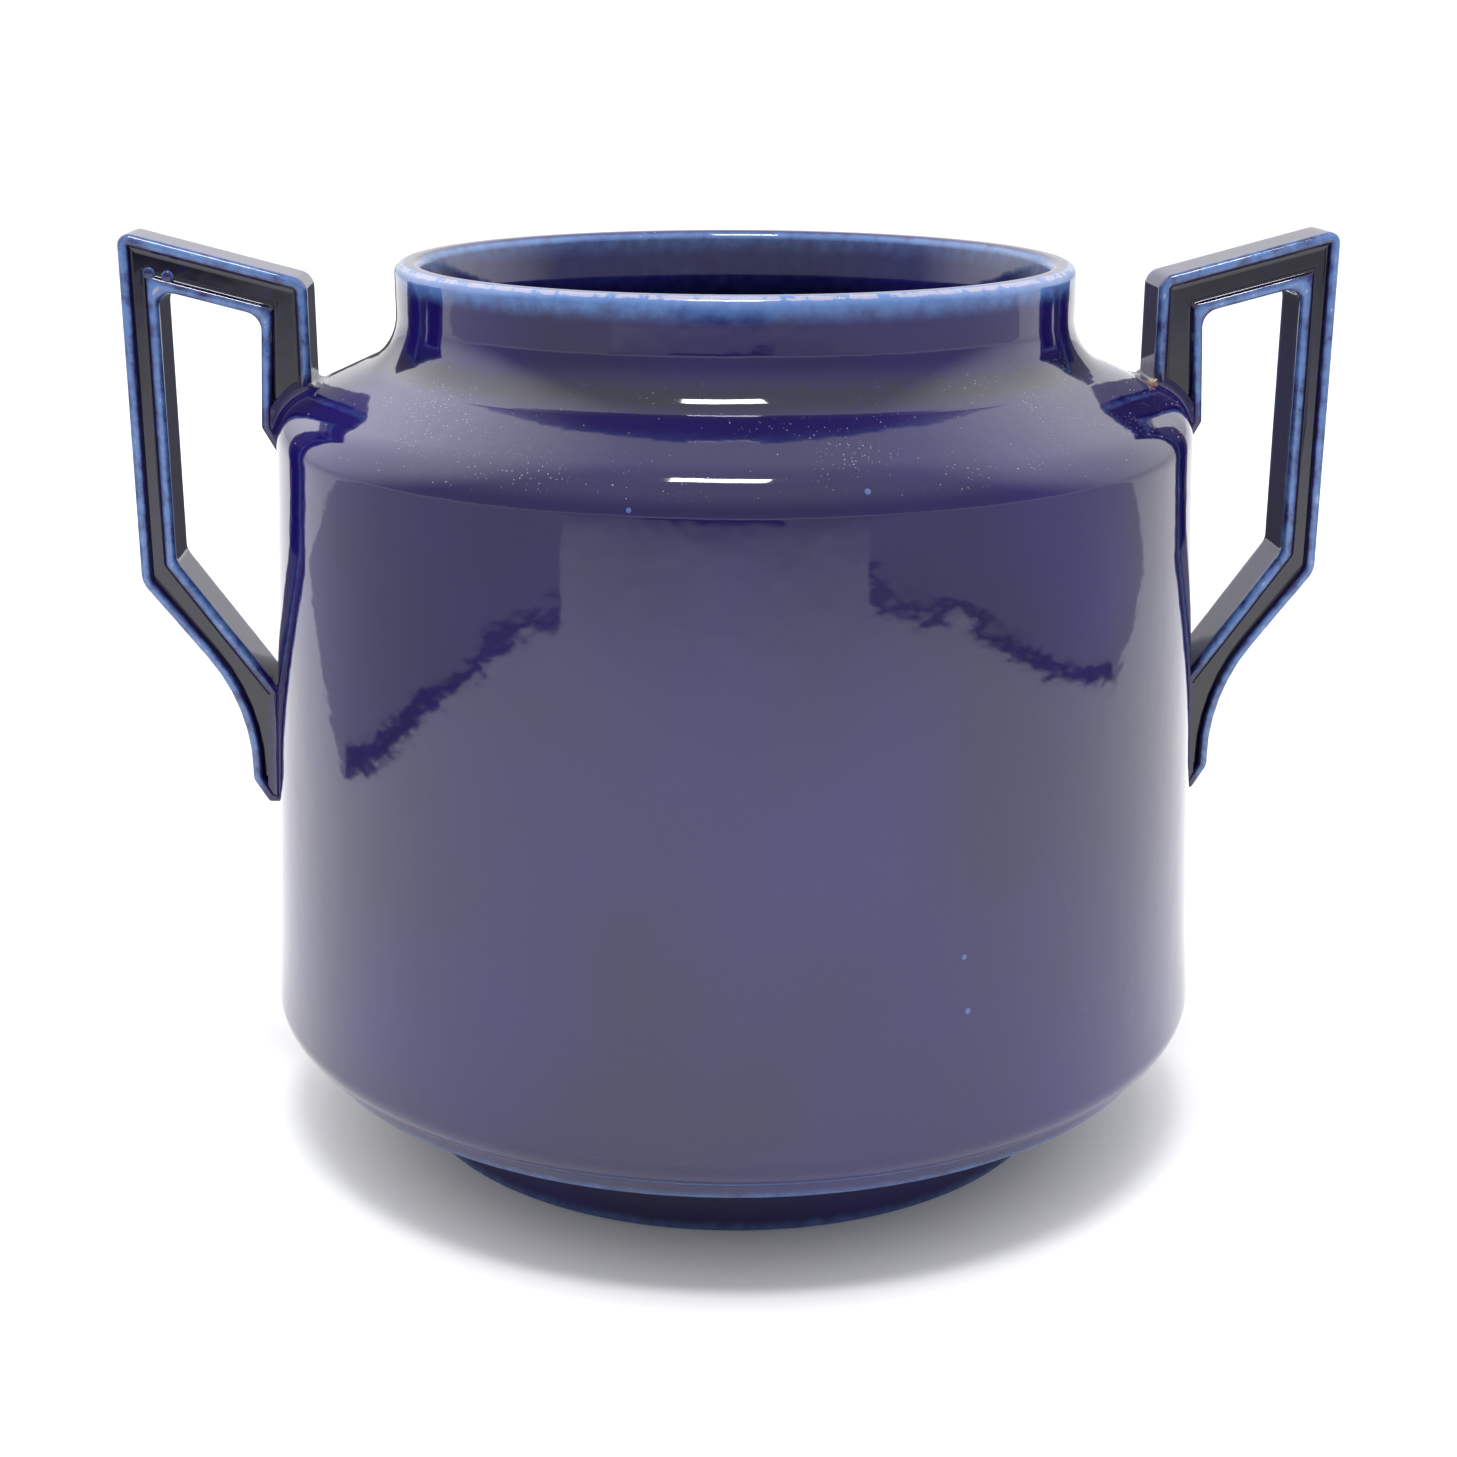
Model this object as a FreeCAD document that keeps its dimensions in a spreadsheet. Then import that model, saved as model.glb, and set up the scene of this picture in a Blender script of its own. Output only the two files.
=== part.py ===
import FreeCAD, Part
import os
import Sketcher

# Squat two-handled glazed pot, in millimetres, +Z up, standing on the origin with its handles along X.
# It is put together from a foot ring, a pot body, a neck collar and two fretwork handles, and each
# handle is luted on with a skirt of slip at its upper and its lower root.

# Driving sizes: name, value and meaning. Heights are a stack of stages from the resting face up.
SIZES = [
    ("foot_height", 9.0, "foot ring, resting face to the underside of the pot body"),
    ("foot_radius", 54.5, "foot ring, outside at the resting face"),
    ("foot_width", 6.0, "foot ring, radial width"),
    ("foot_taper", 0.5, "foot ring, how much narrower the outside is at its top"),
    ("foot_round", 0.8, "foot ring, rounding of the resting face's two edges"),
    ("underside_radius", 57.0, "flat part of the underside, round the foot ring"),
    ("undercut_height", 6.3, "underside up to the band's lower edge"),
    ("band_radius", 71.7, "plain band, radius at its lower edge"),
    ("band_height", 3.3, "plain band under the belly"),
    ("arris_radius", 74.2, "arris between the band and the belly"),
    ("belly_height", 4.4, "arris up to the widest level"),
    ("belly_radius", 76.4, "widest level"),
    ("side_height", 95.4, "widest level up to the shoulder corner"),
    ("shoulder_radius", 71.9, "shoulder corner, before it is rounded"),
    ("shoulder_round", 7.6, "rounding of the shoulder corner"),
    ("shoulder_height", 7.1, "shoulder corner up to the seat of the collar"),
    ("seat_radius", 56.4, "outside of the seat that the collar stands on"),
    ("neck_height", 15.0, "seat up to the lip"),
    ("neck_radius", 53.0, "neck, outside"),
    ("flare_height", 6.8, "concave flare at the foot of the neck"),
    ("neck_wall", 4.2, "neck, wall"),
    ("lip_round", 1.7, "rounding of the lip's two edges"),
    ("side_wall", 4.5, "pot body, wall"),
    ("floor_thickness", 5.0, "pot body, floor"),
    ("floor_radius", 56.0, "flat part of the floor, inside"),
    ("heel_lift", 3.0, "inside heel, how far its top lies above the widest level"),
    ("heel_run", 8.0, "inside heel, radial run of its curve"),
    ("heel_drop", 8.5, "inside heel, height of its curve"),
    ("handle_reach", 22.6, "outer strap's outside, beyond the shoulder corner"),
    ("handle_depth", 11.4, "handle, front face to back face"),
    ("handle_rise", 26.9, "top outer corner of the handle, above the shoulder corner"),
    ("bar_fall", 7.5, "how far the top bar falls towards the neck"),
    ("bar_depth", 7.4, "top bar, upright thickness"),
    ("outer_strap", 5.7, "outer strap, width"),
    ("inner_strap", 7.2, "inner strap, width"),
    ("inner_inset", 5.7, "inner strap's neck side, inside the shoulder corner"),
    ("root_spread", 0.9, "how much wider the inner strap is at its root"),
    ("root_drop", 3.3, "root of the inner strap, below the shoulder corner"),
    ("elbow_drop", 27.9, "outer elbow, below the shoulder corner"),
    ("crook_drop", 24.6, "inner elbow, below the shoulder corner"),
    ("crook_slope", 1.42, "inner edge of the diagonal, height over run"),
    ("sweep_drop", 38.8, "where the diagonal's sweep into the tail starts, below the corner"),
    ("sweep_reach", 13.6, "where that sweep starts, beyond the shoulder corner"),
    ("sweep_radius", 36.0, "radius of that sweep"),
    ("tail_drop", 60.9, "foot of the sweep, below the shoulder corner"),
    ("tail_thickness", 4.3, "tail at the foot of the sweep, off the wall"),
    ("tip_length", 4.0, "tapered tip of the tail"),
    ("tip_thickness", 1.6, "end of the tail, off the wall"),
    ("ridge_width", 1.5, "raised ridge along each edge of the handle's faces"),
    ("channel_depth", 0.9, "channel sunk between the ridges"),
    ("upper_skirt_radius", 4.9, "upper slip skirt, radius of its roll"),
    ("upper_skirt_drop", 2.4, "upper slip skirt, middle of its roll below the shoulder corner"),
    ("lower_skirt_radius", 9.0, "lower slip skirt, radius of its roll"),
    ("lower_skirt_proud", 2.6, "lower slip skirt, height off the wall"),
    ("skirt_margin", 2.7, "slip skirts, how far they spread beyond the handle's faces and ends"),
    ("web_height", 8.0, "lower slip skirt, how far it fills the crotch under the window"),
]

doc = FreeCAD.newDocument("amphora")
sheet = doc.addObject("Spreadsheet::Sheet", "Sizes")
for row, (alias, value, meaning) in enumerate(SIZES, start=1):
    sheet.set(f"A{row}", alias)
    sheet.set(f"B{row}", str(value))
    sheet.set(f"C{row}", meaning)
    sheet.setAlias(f"B{row}", alias)
doc.recompute()


def size(alias):
    return f"Sizes.{alias}"


# Levels and radii that several pieces share, as expressions in the sheet's names.
UNDERSIDE_Z = size("foot_height")
BAND_Z = f"({UNDERSIDE_Z} + {size('undercut_height')})"
ARRIS_Z = f"({BAND_Z} + {size('band_height')})"
BELLY_Z = f"({ARRIS_Z} + {size('belly_height')})"
CORNER_Z = f"({BELLY_Z} + {size('side_height')})"
SEAT_Z = f"({CORNER_Z} + {size('shoulder_height')})"
LIP_Z = f"({SEAT_Z} + {size('neck_height')})"
FLOOR_Z = f"({UNDERSIDE_Z} + {size('floor_thickness')})"
BORE_RADIUS = f"({size('neck_radius')} - {size('neck_wall')})"
INNER_BELLY = f"({size('belly_radius')} - {size('side_wall')})"
CORNER_R = size("shoulder_radius")
HALF_DEPTH = f"{size('handle_depth')} / 2"


def upright_arc(run, rise):
    """Radius of an arc over a run and a rise that leaves its far end upright."""
    return f"(({run})^2 + ({rise})^2) / (2 * ({run}))"


def wall_radius(drop):
    """Outside radius of the pot's side, a given drop below the shoulder corner."""
    slope = f"({size('belly_radius')} - {size('shoulder_radius')}) / {size('side_height')}"
    return f"({CORNER_R} + ({drop}) * {slope})"


def add_outline(sketch, corners, arcs=None):
    """Closed outline through corners given as (x, y) expressions, all on or right of the axis.

    arcs gives, for the corner that an arc starts from, its radius and whether it turns
    anticlockwise. Every corner is located from the origin, so the outline follows the sheet.
    """
    arcs = arcs or {}
    places = [tuple(float(sketch.evalExpression(text)) for text in corner) for corner in corners]
    vectors = [FreeCAD.Vector(x, y, 0) for x, y in places]
    first = sketch.GeometryCount
    count = len(corners)
    starts = []
    for index in range(count):
        start, end = vectors[index], vectors[(index + 1) % count]
        if index not in arcs:
            sketch.addGeometry(Part.LineSegment(start, end), False)
            starts.append((1, 2))
            continue
        radius, anticlockwise = arcs[index]
        length = float(sketch.evalExpression(radius))
        chord = end - start
        side = FreeCAD.Vector(-chord.y, chord.x, 0).normalize()
        sagitta = length - (length ** 2 - (chord.Length / 2) ** 2) ** 0.5
        middle = (start + end) / 2 - side * (sagitta if anticlockwise else -sagitta)
        sketch.addGeometry(Part.Arc(start, middle, end), False)
        starts.append((1, 2) if anticlockwise else (2, 1))
    for index in range(count):
        here, after = first + index, first + (index + 1) % count
        sketch.addConstraint(Sketcher.Constraint(
            "Coincident", here, starts[index][1], after, starts[(index + 1) % count][0]))
    for index, (x_text, y_text) in enumerate(corners):
        here, point = first + index, starts[index][0]
        for kind, text, axis in (("DistanceX", x_text, -2), ("DistanceY", y_text, -1)):
            if text == "0":
                sketch.addConstraint(Sketcher.Constraint("PointOnObject", here, point, axis))
                continue
            value = places[index][0 if kind == "DistanceX" else 1]
            number = sketch.addConstraint(
                Sketcher.Constraint(kind, -1, 1, here, point, value))
            sketch.setExpression(f"Constraints[{number}]", text)
    for index, (radius, _) in arcs.items():
        length = float(sketch.evalExpression(radius))
        number = sketch.addConstraint(Sketcher.Constraint("Radius", first + index, length))
        sketch.setExpression(f"Constraints[{number}]", radius)


def turned_body(label, corners, arcs=None):
    """Body turned once round the Z axis from an outline in the XZ plane."""
    body = doc.addObject("PartDesign::Body", label)
    body.Label = label
    sketch = body.newObject("Sketcher::SketchObject", f"{label}_outline")
    plane = next(item for item in body.Origin.OriginFeatures if item.Role == "XZ_Plane")
    sketch.AttachmentSupport = [(plane, "")]
    sketch.MapMode = "FlatFace"
    add_outline(sketch, corners, arcs)
    turn = body.newObject("PartDesign::Revolution", f"{label}_turn")
    turn.Profile = sketch
    turn.ReferenceAxis = (sketch, ["V_Axis"])
    turn.Angle = 360
    doc.recompute()
    return body


def circles_at(shape, places):
    """Names of the round edges that lie at the given (radius, height) places."""
    names = []
    for number, edge in enumerate(shape.Edges, start=1):
        if not isinstance(edge.Curve, Part.Circle):
            continue
        for radius, height in places:
            if abs(edge.Curve.Radius - radius) < 1e-4 and abs(edge.Curve.Center.z - height) < 1e-4:
                names.append(f"Edge{number}")
    return names


def round_circles(body, places, alias):
    """Round the body's circular edges at (radius, height) expressions, by a size of the sheet."""
    base = body.Tip
    spots = [tuple(float(sheet.evalExpression(text.replace("Sizes.", ""))) for text in place)
             for place in places]
    rounding = body.newObject("PartDesign::Fillet", f"{body.Label}_{alias}")
    rounding.Base = (base, circles_at(base.Shape, spots))
    rounding.setExpression("Radius", size(alias))
    doc.recompute()


def foot_ring():
    inner = f"{size('foot_radius')} - {size('foot_width')}"
    ring = turned_body("foot_ring", [
        (inner, "0"),
        (size("foot_radius"), "0"),
        (f"{size('foot_radius')} - {size('foot_taper')}", UNDERSIDE_Z),
        (inner, UNDERSIDE_Z),
    ])
    round_circles(ring, [(inner, "0"), (size("foot_radius"), "0")], "foot_round")
    return ring


# Outside of the pot body from its underside up to the seat, shared by the body and its solid form.
POT_OUTSIDE = [
    ("0", UNDERSIDE_Z),
    (size("underside_radius"), UNDERSIDE_Z),
    (size("band_radius"), BAND_Z),
    (size("arris_radius"), ARRIS_Z),
    (size("belly_radius"), BELLY_Z),
    (CORNER_R, CORNER_Z),
    (size("seat_radius"), SEAT_Z),
]
BELLY_ARC = upright_arc(f"{size('belly_radius')} - {size('arris_radius')}", size("belly_height"))


def pot_body():
    heel_z = f"({BELLY_Z} + {size('heel_lift')})"
    corners = POT_OUTSIDE + [
        (BORE_RADIUS, SEAT_Z),
        (BORE_RADIUS, f"{SEAT_Z} - {size('side_wall')}"),
        (f"{CORNER_R} - {size('side_wall')}", f"{CORNER_Z} - {size('side_wall')}"),
        (INNER_BELLY, heel_z),
        (f"{INNER_BELLY} - {size('heel_run')}", f"{heel_z} - {size('heel_drop')}"),
        (size("floor_radius"), FLOOR_Z),
        ("0", FLOOR_Z),
    ]
    inner_arc = upright_arc(size("heel_run"), size("heel_drop"))
    body = turned_body("pot_body", corners, {3: (BELLY_ARC, True), 10: (inner_arc, False)})
    round_circles(body, [(CORNER_R, CORNER_Z)], "shoulder_round")
    return body


def pot_form():
    """Solid form of the pot's outside. The handles and skirts are cut back to it."""
    corners = POT_OUTSIDE + [("0", SEAT_Z)]
    form = turned_body("pot_form", corners, {3: (BELLY_ARC, True)})
    round_circles(form, [(CORNER_R, CORNER_Z)], "shoulder_round")
    return form


def neck_collar():
    flare = upright_arc(f"{size('seat_radius')} - {size('neck_radius')}", size("flare_height"))
    collar = turned_body("neck_collar", [
        (BORE_RADIUS, SEAT_Z),
        (size("seat_radius"), SEAT_Z),
        (size("neck_radius"), f"{SEAT_Z} + {size('flare_height')}"),
        (size("neck_radius"), LIP_Z),
        (BORE_RADIUS, LIP_Z),
    ], {1: (flare, False)})
    round_circles(collar, [(size("neck_radius"), LIP_Z), (BORE_RADIUS, LIP_Z)], "lip_round")
    return collar


def handle_outline():
    """Fretwork outline of one handle in the XZ plane, with its window as a second wire.

    Both wires run on inside the pot, where the pot's form later cuts them off.
    """
    sketch = doc.addObject("Sketcher::SketchObject", "handle_outline")
    upright = FreeCAD.Rotation(FreeCAD.Vector(1, 0, 0), 90)
    sketch.Placement = FreeCAD.Placement(FreeCAD.Vector(0, 0, 0), upright)
    outside = f"{CORNER_R} + {size('handle_reach')}"
    neck_side = f"{CORNER_R} - {size('inner_inset')}"
    tip_drop = f"{size('tail_drop')} + {size('tip_length')}"
    top_z = f"{CORNER_Z} + {size('handle_rise')}"
    add_outline(sketch, [
        (neck_side, f"{CORNER_Z} - ({tip_drop})"),
        (f"{wall_radius(tip_drop)} + {size('tip_thickness')}", f"{CORNER_Z} - ({tip_drop})"),
        (f"{wall_radius(size('tail_drop'))} + {size('tail_thickness')}",
         f"{CORNER_Z} - {size('tail_drop')}"),
        (f"{CORNER_R} + {size('sweep_reach')}", f"{CORNER_Z} - {size('sweep_drop')}"),
        (outside, f"{CORNER_Z} - {size('elbow_drop')}"),
        (outside, top_z),
        (neck_side, f"{top_z} - {size('bar_fall')}"),
    ], {2: (size("sweep_radius"), False)})
    bar_slope = f"{size('bar_fall')} / ({size('handle_reach')} + {size('inner_inset')})"
    under_z = f"{top_z} - {size('bar_depth')}"
    strap_far = f"({size('handle_reach')} + {size('inner_inset')} - {size('inner_strap')})"
    window_x = f"{outside} - {size('outer_strap')}"
    buried_x = f"{neck_side} + {size('ridge_width')}"
    buried_run = f"({window_x} - ({buried_x}))"
    crook_z = f"{CORNER_Z} - {size('crook_drop')}"
    root_x = f"{neck_side} + {size('inner_strap')} + {size('root_spread')}"
    add_outline(sketch, [
        (buried_x, f"{crook_z} - {size('crook_slope')} * {buried_run}"),
        (window_x, crook_z),
        (window_x, f"{under_z} - {size('outer_strap')} * {bar_slope}"),
        (f"{neck_side} + {size('inner_strap')}", f"{under_z} - {strap_far} * {bar_slope}"),
        (root_x, f"{CORNER_Z} - {size('root_drop')}"),
        (buried_x, f"{CORNER_Z} - 2 * {size('shoulder_round')}"),
    ])
    doc.recompute()
    return sketch


def extrusion(name, base, length, symmetric):
    solid = doc.addObject("Part::Extrusion", name)
    solid.Base = base
    solid.DirMode = "Custom"
    solid.Dir = FreeCAD.Vector(0, 1, 0)
    solid.setExpression("LengthFwd", length)
    solid.Symmetric = symmetric
    solid.Solid = True
    return solid


def cut(label, base, tool):
    result = doc.addObject("Part::Cut", label)
    result.Label = label
    result.Base = base
    result.Tool = tool
    return result


def handle(form):
    """Right handle: a plate with a channel sunk in both faces, cut back to the pot's form.

    The plain plate is returned too, because the slip skirts go round it.
    """
    outline = handle_outline()
    plate = extrusion("handle_plate", outline, size("handle_depth"), True)
    channel = doc.addObject("Part::Offset2D", "channel_outline")
    channel.Source = outline
    channel.setExpression("Value", f"-{size('ridge_width')}")
    channel.Join = "Intersection"
    channels = []
    for name, offset in (("front", f"-({HALF_DEPTH})"),
                         ("back", f"{HALF_DEPTH} - {size('channel_depth')}")):
        sunk = extrusion(f"channel_{name}", channel, size("channel_depth"), False)
        sunk.setExpression("Placement.Base.y", offset)
        channels.append(sunk)
    doc.recompute()
    tools = doc.addObject("Part::MultiFuse", "handle_tools")
    tools.Shapes = channels
    grooved = cut("handle_grooved", plate, tools)
    result = cut("handle_right", grooved, form)
    doc.recompute()
    return result, plate


def skirt(label, roll, form, plate):
    """Skirt of slip round a handle's root: a roll less the handle's plate and the pot's form."""
    beside_handle = cut(f"{label}_shell", roll, plate)
    return cut(label, beside_handle, form)


def upper_skirt(form, plate):
    """The upper roll lies along Y under the inner strap, on the shoulder corner."""
    roll = doc.addObject("Part::Cylinder", "upper_roll")
    lying = FreeCAD.Rotation(FreeCAD.Vector(1, 0, 0), -90)
    roll.Placement = FreeCAD.Placement(FreeCAD.Vector(0, 0, 0), lying)
    roll.setExpression("Radius", size("upper_skirt_radius"))
    roll.setExpression("Height", f"{size('handle_depth')} + 2 * {size('skirt_margin')}")
    strap_middle = f"{CORNER_R} - {size('inner_inset')} + {size('inner_strap')} / 2"
    roll.setExpression("Placement.Base.x", strap_middle)
    roll.setExpression("Placement.Base.y", f"-({HALF_DEPTH}) - {size('skirt_margin')}")
    roll.setExpression("Placement.Base.z", f"{CORNER_Z} - {size('upper_skirt_drop')}")
    return skirt("upper_skirt_right", roll, form, plate)


def lower_skirt(form, plate):
    """The lower roll stands along the wall, from below the tail's tip up into the crotch."""
    roll = doc.addObject("Part::Cylinder", "lower_roll")
    foot_drop = f"({size('tail_drop')} + {size('tip_length')} + {size('skirt_margin')})"
    outside = f"{wall_radius(size('tail_drop'))} + {size('lower_skirt_proud')}"
    window_run = f"({size('handle_reach')} - {size('outer_strap')})"
    crotch_drop = f"({size('crook_drop')} + {size('crook_slope')} * {window_run})"
    roll.setExpression("Radius", size("lower_skirt_radius"))
    roll.setExpression("Height", f"{foot_drop} - {crotch_drop} + {size('web_height')}")
    roll.setExpression("Placement.Base.x", f"{outside} - {size('lower_skirt_radius')}")
    roll.setExpression("Placement.Base.z", f"{CORNER_Z} - {foot_drop}")
    return skirt("lower_skirt_right", roll, form, plate)


def mirrored(label, source):
    """The same piece on the other side of the YZ plane."""
    copy = doc.addObject("Part::Mirroring", label)
    copy.Label = label
    copy.Source = source
    copy.Base = FreeCAD.Vector(0, 0, 0)
    copy.Normal = FreeCAD.Vector(1, 0, 0)
    return copy


form = pot_form()
pieces = [foot_ring(), pot_body(), neck_collar()]
right_handle, plate = handle(form)
for piece in (right_handle, upper_skirt(form, plate), lower_skirt(form, plate)):
    pieces.append(piece)
    pieces.append(mirrored(piece.Label.replace("right", "left"), piece))
doc.recompute()

# Every object has to be sound before anything is written.
for item in doc.Objects:
    faults = [state for state in item.State if state in ("Invalid", "Error")]
    if faults:
        raise RuntimeError(f"{item.Label} is {faults}")
for piece in pieces:
    if piece.Shape.isNull() or not piece.Shape.isValid() or not piece.Shape.Solids:
        raise RuntimeError(f"{piece.Label} has no sound solid")

os.makedirs("parts", exist_ok=True)
for piece in pieces:
    piece.Shape.exportStep(os.path.join("parts", f"{piece.Label}.step"))
    print(piece.Label, len(piece.Shape.Solids), "solids,", round(piece.Shape.Volume, 1), "mm3")
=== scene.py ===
import math
import bmesh
import bpy
from mathutils import Matrix, Vector, geometry, noise


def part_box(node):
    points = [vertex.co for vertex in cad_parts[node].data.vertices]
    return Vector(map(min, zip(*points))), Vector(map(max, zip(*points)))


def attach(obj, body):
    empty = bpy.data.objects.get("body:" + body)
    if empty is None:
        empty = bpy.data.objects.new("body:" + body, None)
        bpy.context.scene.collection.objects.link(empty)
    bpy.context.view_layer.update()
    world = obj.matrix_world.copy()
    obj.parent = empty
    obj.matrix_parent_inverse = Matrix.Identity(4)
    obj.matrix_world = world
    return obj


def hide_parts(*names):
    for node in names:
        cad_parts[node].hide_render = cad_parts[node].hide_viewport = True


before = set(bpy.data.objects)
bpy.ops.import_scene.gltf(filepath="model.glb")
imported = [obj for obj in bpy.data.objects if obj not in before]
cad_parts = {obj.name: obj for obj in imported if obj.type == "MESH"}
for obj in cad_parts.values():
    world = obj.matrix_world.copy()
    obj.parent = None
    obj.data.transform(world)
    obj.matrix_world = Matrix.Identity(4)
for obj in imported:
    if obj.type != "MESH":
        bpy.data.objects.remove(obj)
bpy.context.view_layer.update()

# Cobalt-glazed two-handled pot. Shapes are worked out in millimetres and made in metres.
MM = 0.001
BODY = "root"


def reach(node, axis):
    """Furthest a CAD node goes along an axis, in millimetres."""
    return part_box(node)[1][axis] / MM


def lowest(node):
    """Lowest level of a CAD node, in millimetres."""
    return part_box(node)[0][2] / MM


# ---------------------------------------------------------------- sizes (mm)
FOOT_RADIUS = reach("foot_ring", 0)
UNDERSIDE = reach("foot_ring", 2)
BELLY_RADIUS = reach("pot_body", 0)
SEAT_RADIUS = reach("neck_collar", 0)
SEAT = lowest("neck_collar")
LIP = reach("neck_collar", 2)
HANDLE_OUTSIDE = reach("handle_right", 0)
HANDLE_TOP = reach("handle_right", 2)
HANDLE_HALF = reach("handle_right", 1)
TIP = lowest("handle_right")

UNDERCUT_HEIGHT = 6.3
BAND_HEIGHT = 3.3
BELLY_HEIGHT = 4.4
SHOULDER_HEIGHT = 7.1
BAND = UNDERSIDE + UNDERCUT_HEIGHT
ARRIS = BAND + BAND_HEIGHT
BELLY = ARRIS + BELLY_HEIGHT
CORNER = SEAT - SHOULDER_HEIGHT
BAND_RADIUS = BELLY_RADIUS - 4.7
ARRIS_RADIUS = BELLY_RADIUS - 2.2
CORNER_RADIUS = 71.9
SHOULDER_ROUND = 7.6
NECK_RADIUS = 53.0
NECK_WALL = 4.2
FLARE_ROUND = 9.0
LIP_ROUND = 1.7
SEAT_WIDTH = 4.6
WALL = 4.5
FLOOR_THICKNESS = 5.0
FLOOR = UNDERSIDE + FLOOR_THICKNESS
FOOT_WIDTH = 6.0
FOOT_TAPER = 0.5
FOOT_ROUND = 0.8

# How finely the meshes are made: segments round, angle of an arc's steps, longest straight run.
TURNS = 288
ARC_STEP = math.radians(4)
LONGEST_RUN = 3.0
SMOOTHEST_EDGE = math.radians(38)
CORNER_POINTS = 7


def wall_radius(level):
    """Outside radius of the straight side at a level."""
    return CORNER_RADIUS + (CORNER - level) * (BELLY_RADIUS - CORNER_RADIUS) / (CORNER - BELLY)


# ---------------------------------------------------------------- outlines
def corner_arc(before, here, after, rounding, steps):
    """Points of the tangent arc that rounds a corner."""
    back = (before - here).normalized()
    ahead = (after - here).normalized()
    half = back.angle(ahead) / 2
    centre = here + (back + ahead).normalized() * rounding / math.sin(half)
    arm = here + back * rounding / math.tan(half) - centre
    turn = math.pi - 2 * half
    if back.x * ahead.y - back.y * ahead.x > 0:
        turn = -turn
    count = steps or max(2, math.ceil(abs(turn) / ARC_STEP))
    return [centre + Matrix.Rotation(turn * k / count, 2) @ arm for k in range(count + 1)]


def rounded(corners, closed=False, steps=None):
    """Outline through (x, y, rounding) corners, its corners rounded by tangent arcs."""
    spots = [Vector(corner[:2]) for corner in corners]
    outline = []
    for index, here in enumerate(spots):
        rounding = corners[index][2]
        at_end = not closed and index in (0, len(spots) - 1)
        if at_end or rounding == 0:
            outline.append(here)
            continue
        after = spots[(index + 1) % len(spots)]
        outline += corner_arc(spots[index - 1], here, after, rounding, steps)
    return outline


def subdivided(outline, longest, closed=False):
    """The same outline with no run longer than the longest."""
    finer = []
    ends = outline[1:] + ([outline[0]] if closed else [])
    for start, end in zip(outline, ends):
        count = max(1, math.ceil((end - start).length / longest))
        finer += [start.lerp(end, k / count) for k in range(count)]
    return finer if closed else finer + [outline[-1]]


# ---------------------------------------------------------------- glaze thickness
# Where the glaze runs thin on an edge (radius, level, width, strength), and where it pools; the foot's
# pool is partly painted shade.
EDGES = [
    (NECK_RADIUS - 0.8, LIP - 0.1, 0.6, 1.2),
    (NECK_RADIUS, LIP - 1.3, 1.6, 0.62),
    (NECK_RADIUS - NECK_WALL + 0.3, LIP - 0.8, 0.8, 0.5),
    (ARRIS_RADIUS, ARRIS, 1.1, 0.50),
    (BAND_RADIUS, BAND, 0.8, 0.26),
    (FOOT_RADIUS, 0.3, 1.5, 0.4),
]
POOLS_AND_PAINTED_SHADE = [
    (NECK_RADIUS - 2.4, LIP, 0.9, 0.35),
    (SEAT_RADIUS - 1.0, SEAT + 1.5, 3.0, 0.5),
    (BELLY_RADIUS - 3.4, ARRIS - 1.4, 0.9, 0.6),
    # Pooled glaze round the foot's top, made darker still as painted shade in the recess under the body.
    (FOOT_RADIUS, UNDERSIDE, 3.5, 0.55),
]

# Painted light: inside the neck and body the colour is moved this far towards the thin colour, standing
# for the lit, reflecting inside of the pot.
INSIDE_PAINTED_LIGHT = 0.17


def thinness(radius, level):
    """Thin glaze is towards +1, pooled glaze towards -1 and an even coat is 0. The inside is lifted by
    painted light and the foot's recess lowered by painted shade.
    """
    in_neck = radius < NECK_RADIUS - 2
    in_body = radius < wall_radius(level) - 2 and UNDERSIDE < level < CORNER - 3
    thin = INSIDE_PAINTED_LIGHT if (in_neck or in_body) and level > UNDERSIDE + 1 else 0.0
    for places, sign in ((EDGES, 1.0), (POOLS_AND_PAINTED_SHADE, -1.0)):
        for edge_radius, edge_level, width, strength in places:
            away = math.hypot(radius - edge_radius, level - edge_level) / width
            thin += sign * strength * math.exp(-away * away)
    return max(-1.0, min(1.0, thin))


def made(name, vertices, faces, thin, material):
    """Mesh object in metres from millimetre vertices, with its glaze thinness on each point."""
    mesh = bpy.data.meshes.new(name)
    mesh.from_pydata([tuple(c * MM for c in v) for v in vertices], [], faces)
    layer = mesh.attributes.new("thin", "FLOAT", "POINT")
    layer.data.foreach_set("value", thin)
    mesh.materials.append(material)
    mesh.shade_smooth()
    mesh.set_sharp_from_angle(angle=SMOOTHEST_EDGE)
    mesh.update()
    piece = bpy.data.objects.new(name, mesh)
    bpy.context.scene.collection.objects.link(piece)
    return piece


# ---------------------------------------------------------------- turned pieces
def turned(name, outline, closed, material):
    """Piece turned round Z. An outline that starts and ends on the axis has a pole at each end."""
    vertices, thin, rings = [], [], []
    for spot in outline:
        start = len(vertices)
        pole = spot.x < 1e-6
        for k in range(1 if pole else TURNS):
            angle = 2 * math.pi * k / TURNS
            vertices.append((spot.x * math.cos(angle), spot.x * math.sin(angle), spot.y))
            thin.append(thinness(spot.x, spot.y))
        rings.append((start, pole))
    faces = []
    pairs = list(zip(rings, rings[1:])) + ([(rings[-1], rings[0])] if closed else [])
    for (low, low_pole), (high, high_pole) in pairs:
        for k in range(TURNS):
            after = (k + 1) % TURNS
            if low_pole:
                faces.append((low, high + after, high + k))
            elif high_pole:
                faces.append((low + k, low + after, high))
            else:
                faces.append((low + k, low + after, high + after, high + k))
    return made(name, vertices, faces, thin, material)


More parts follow.
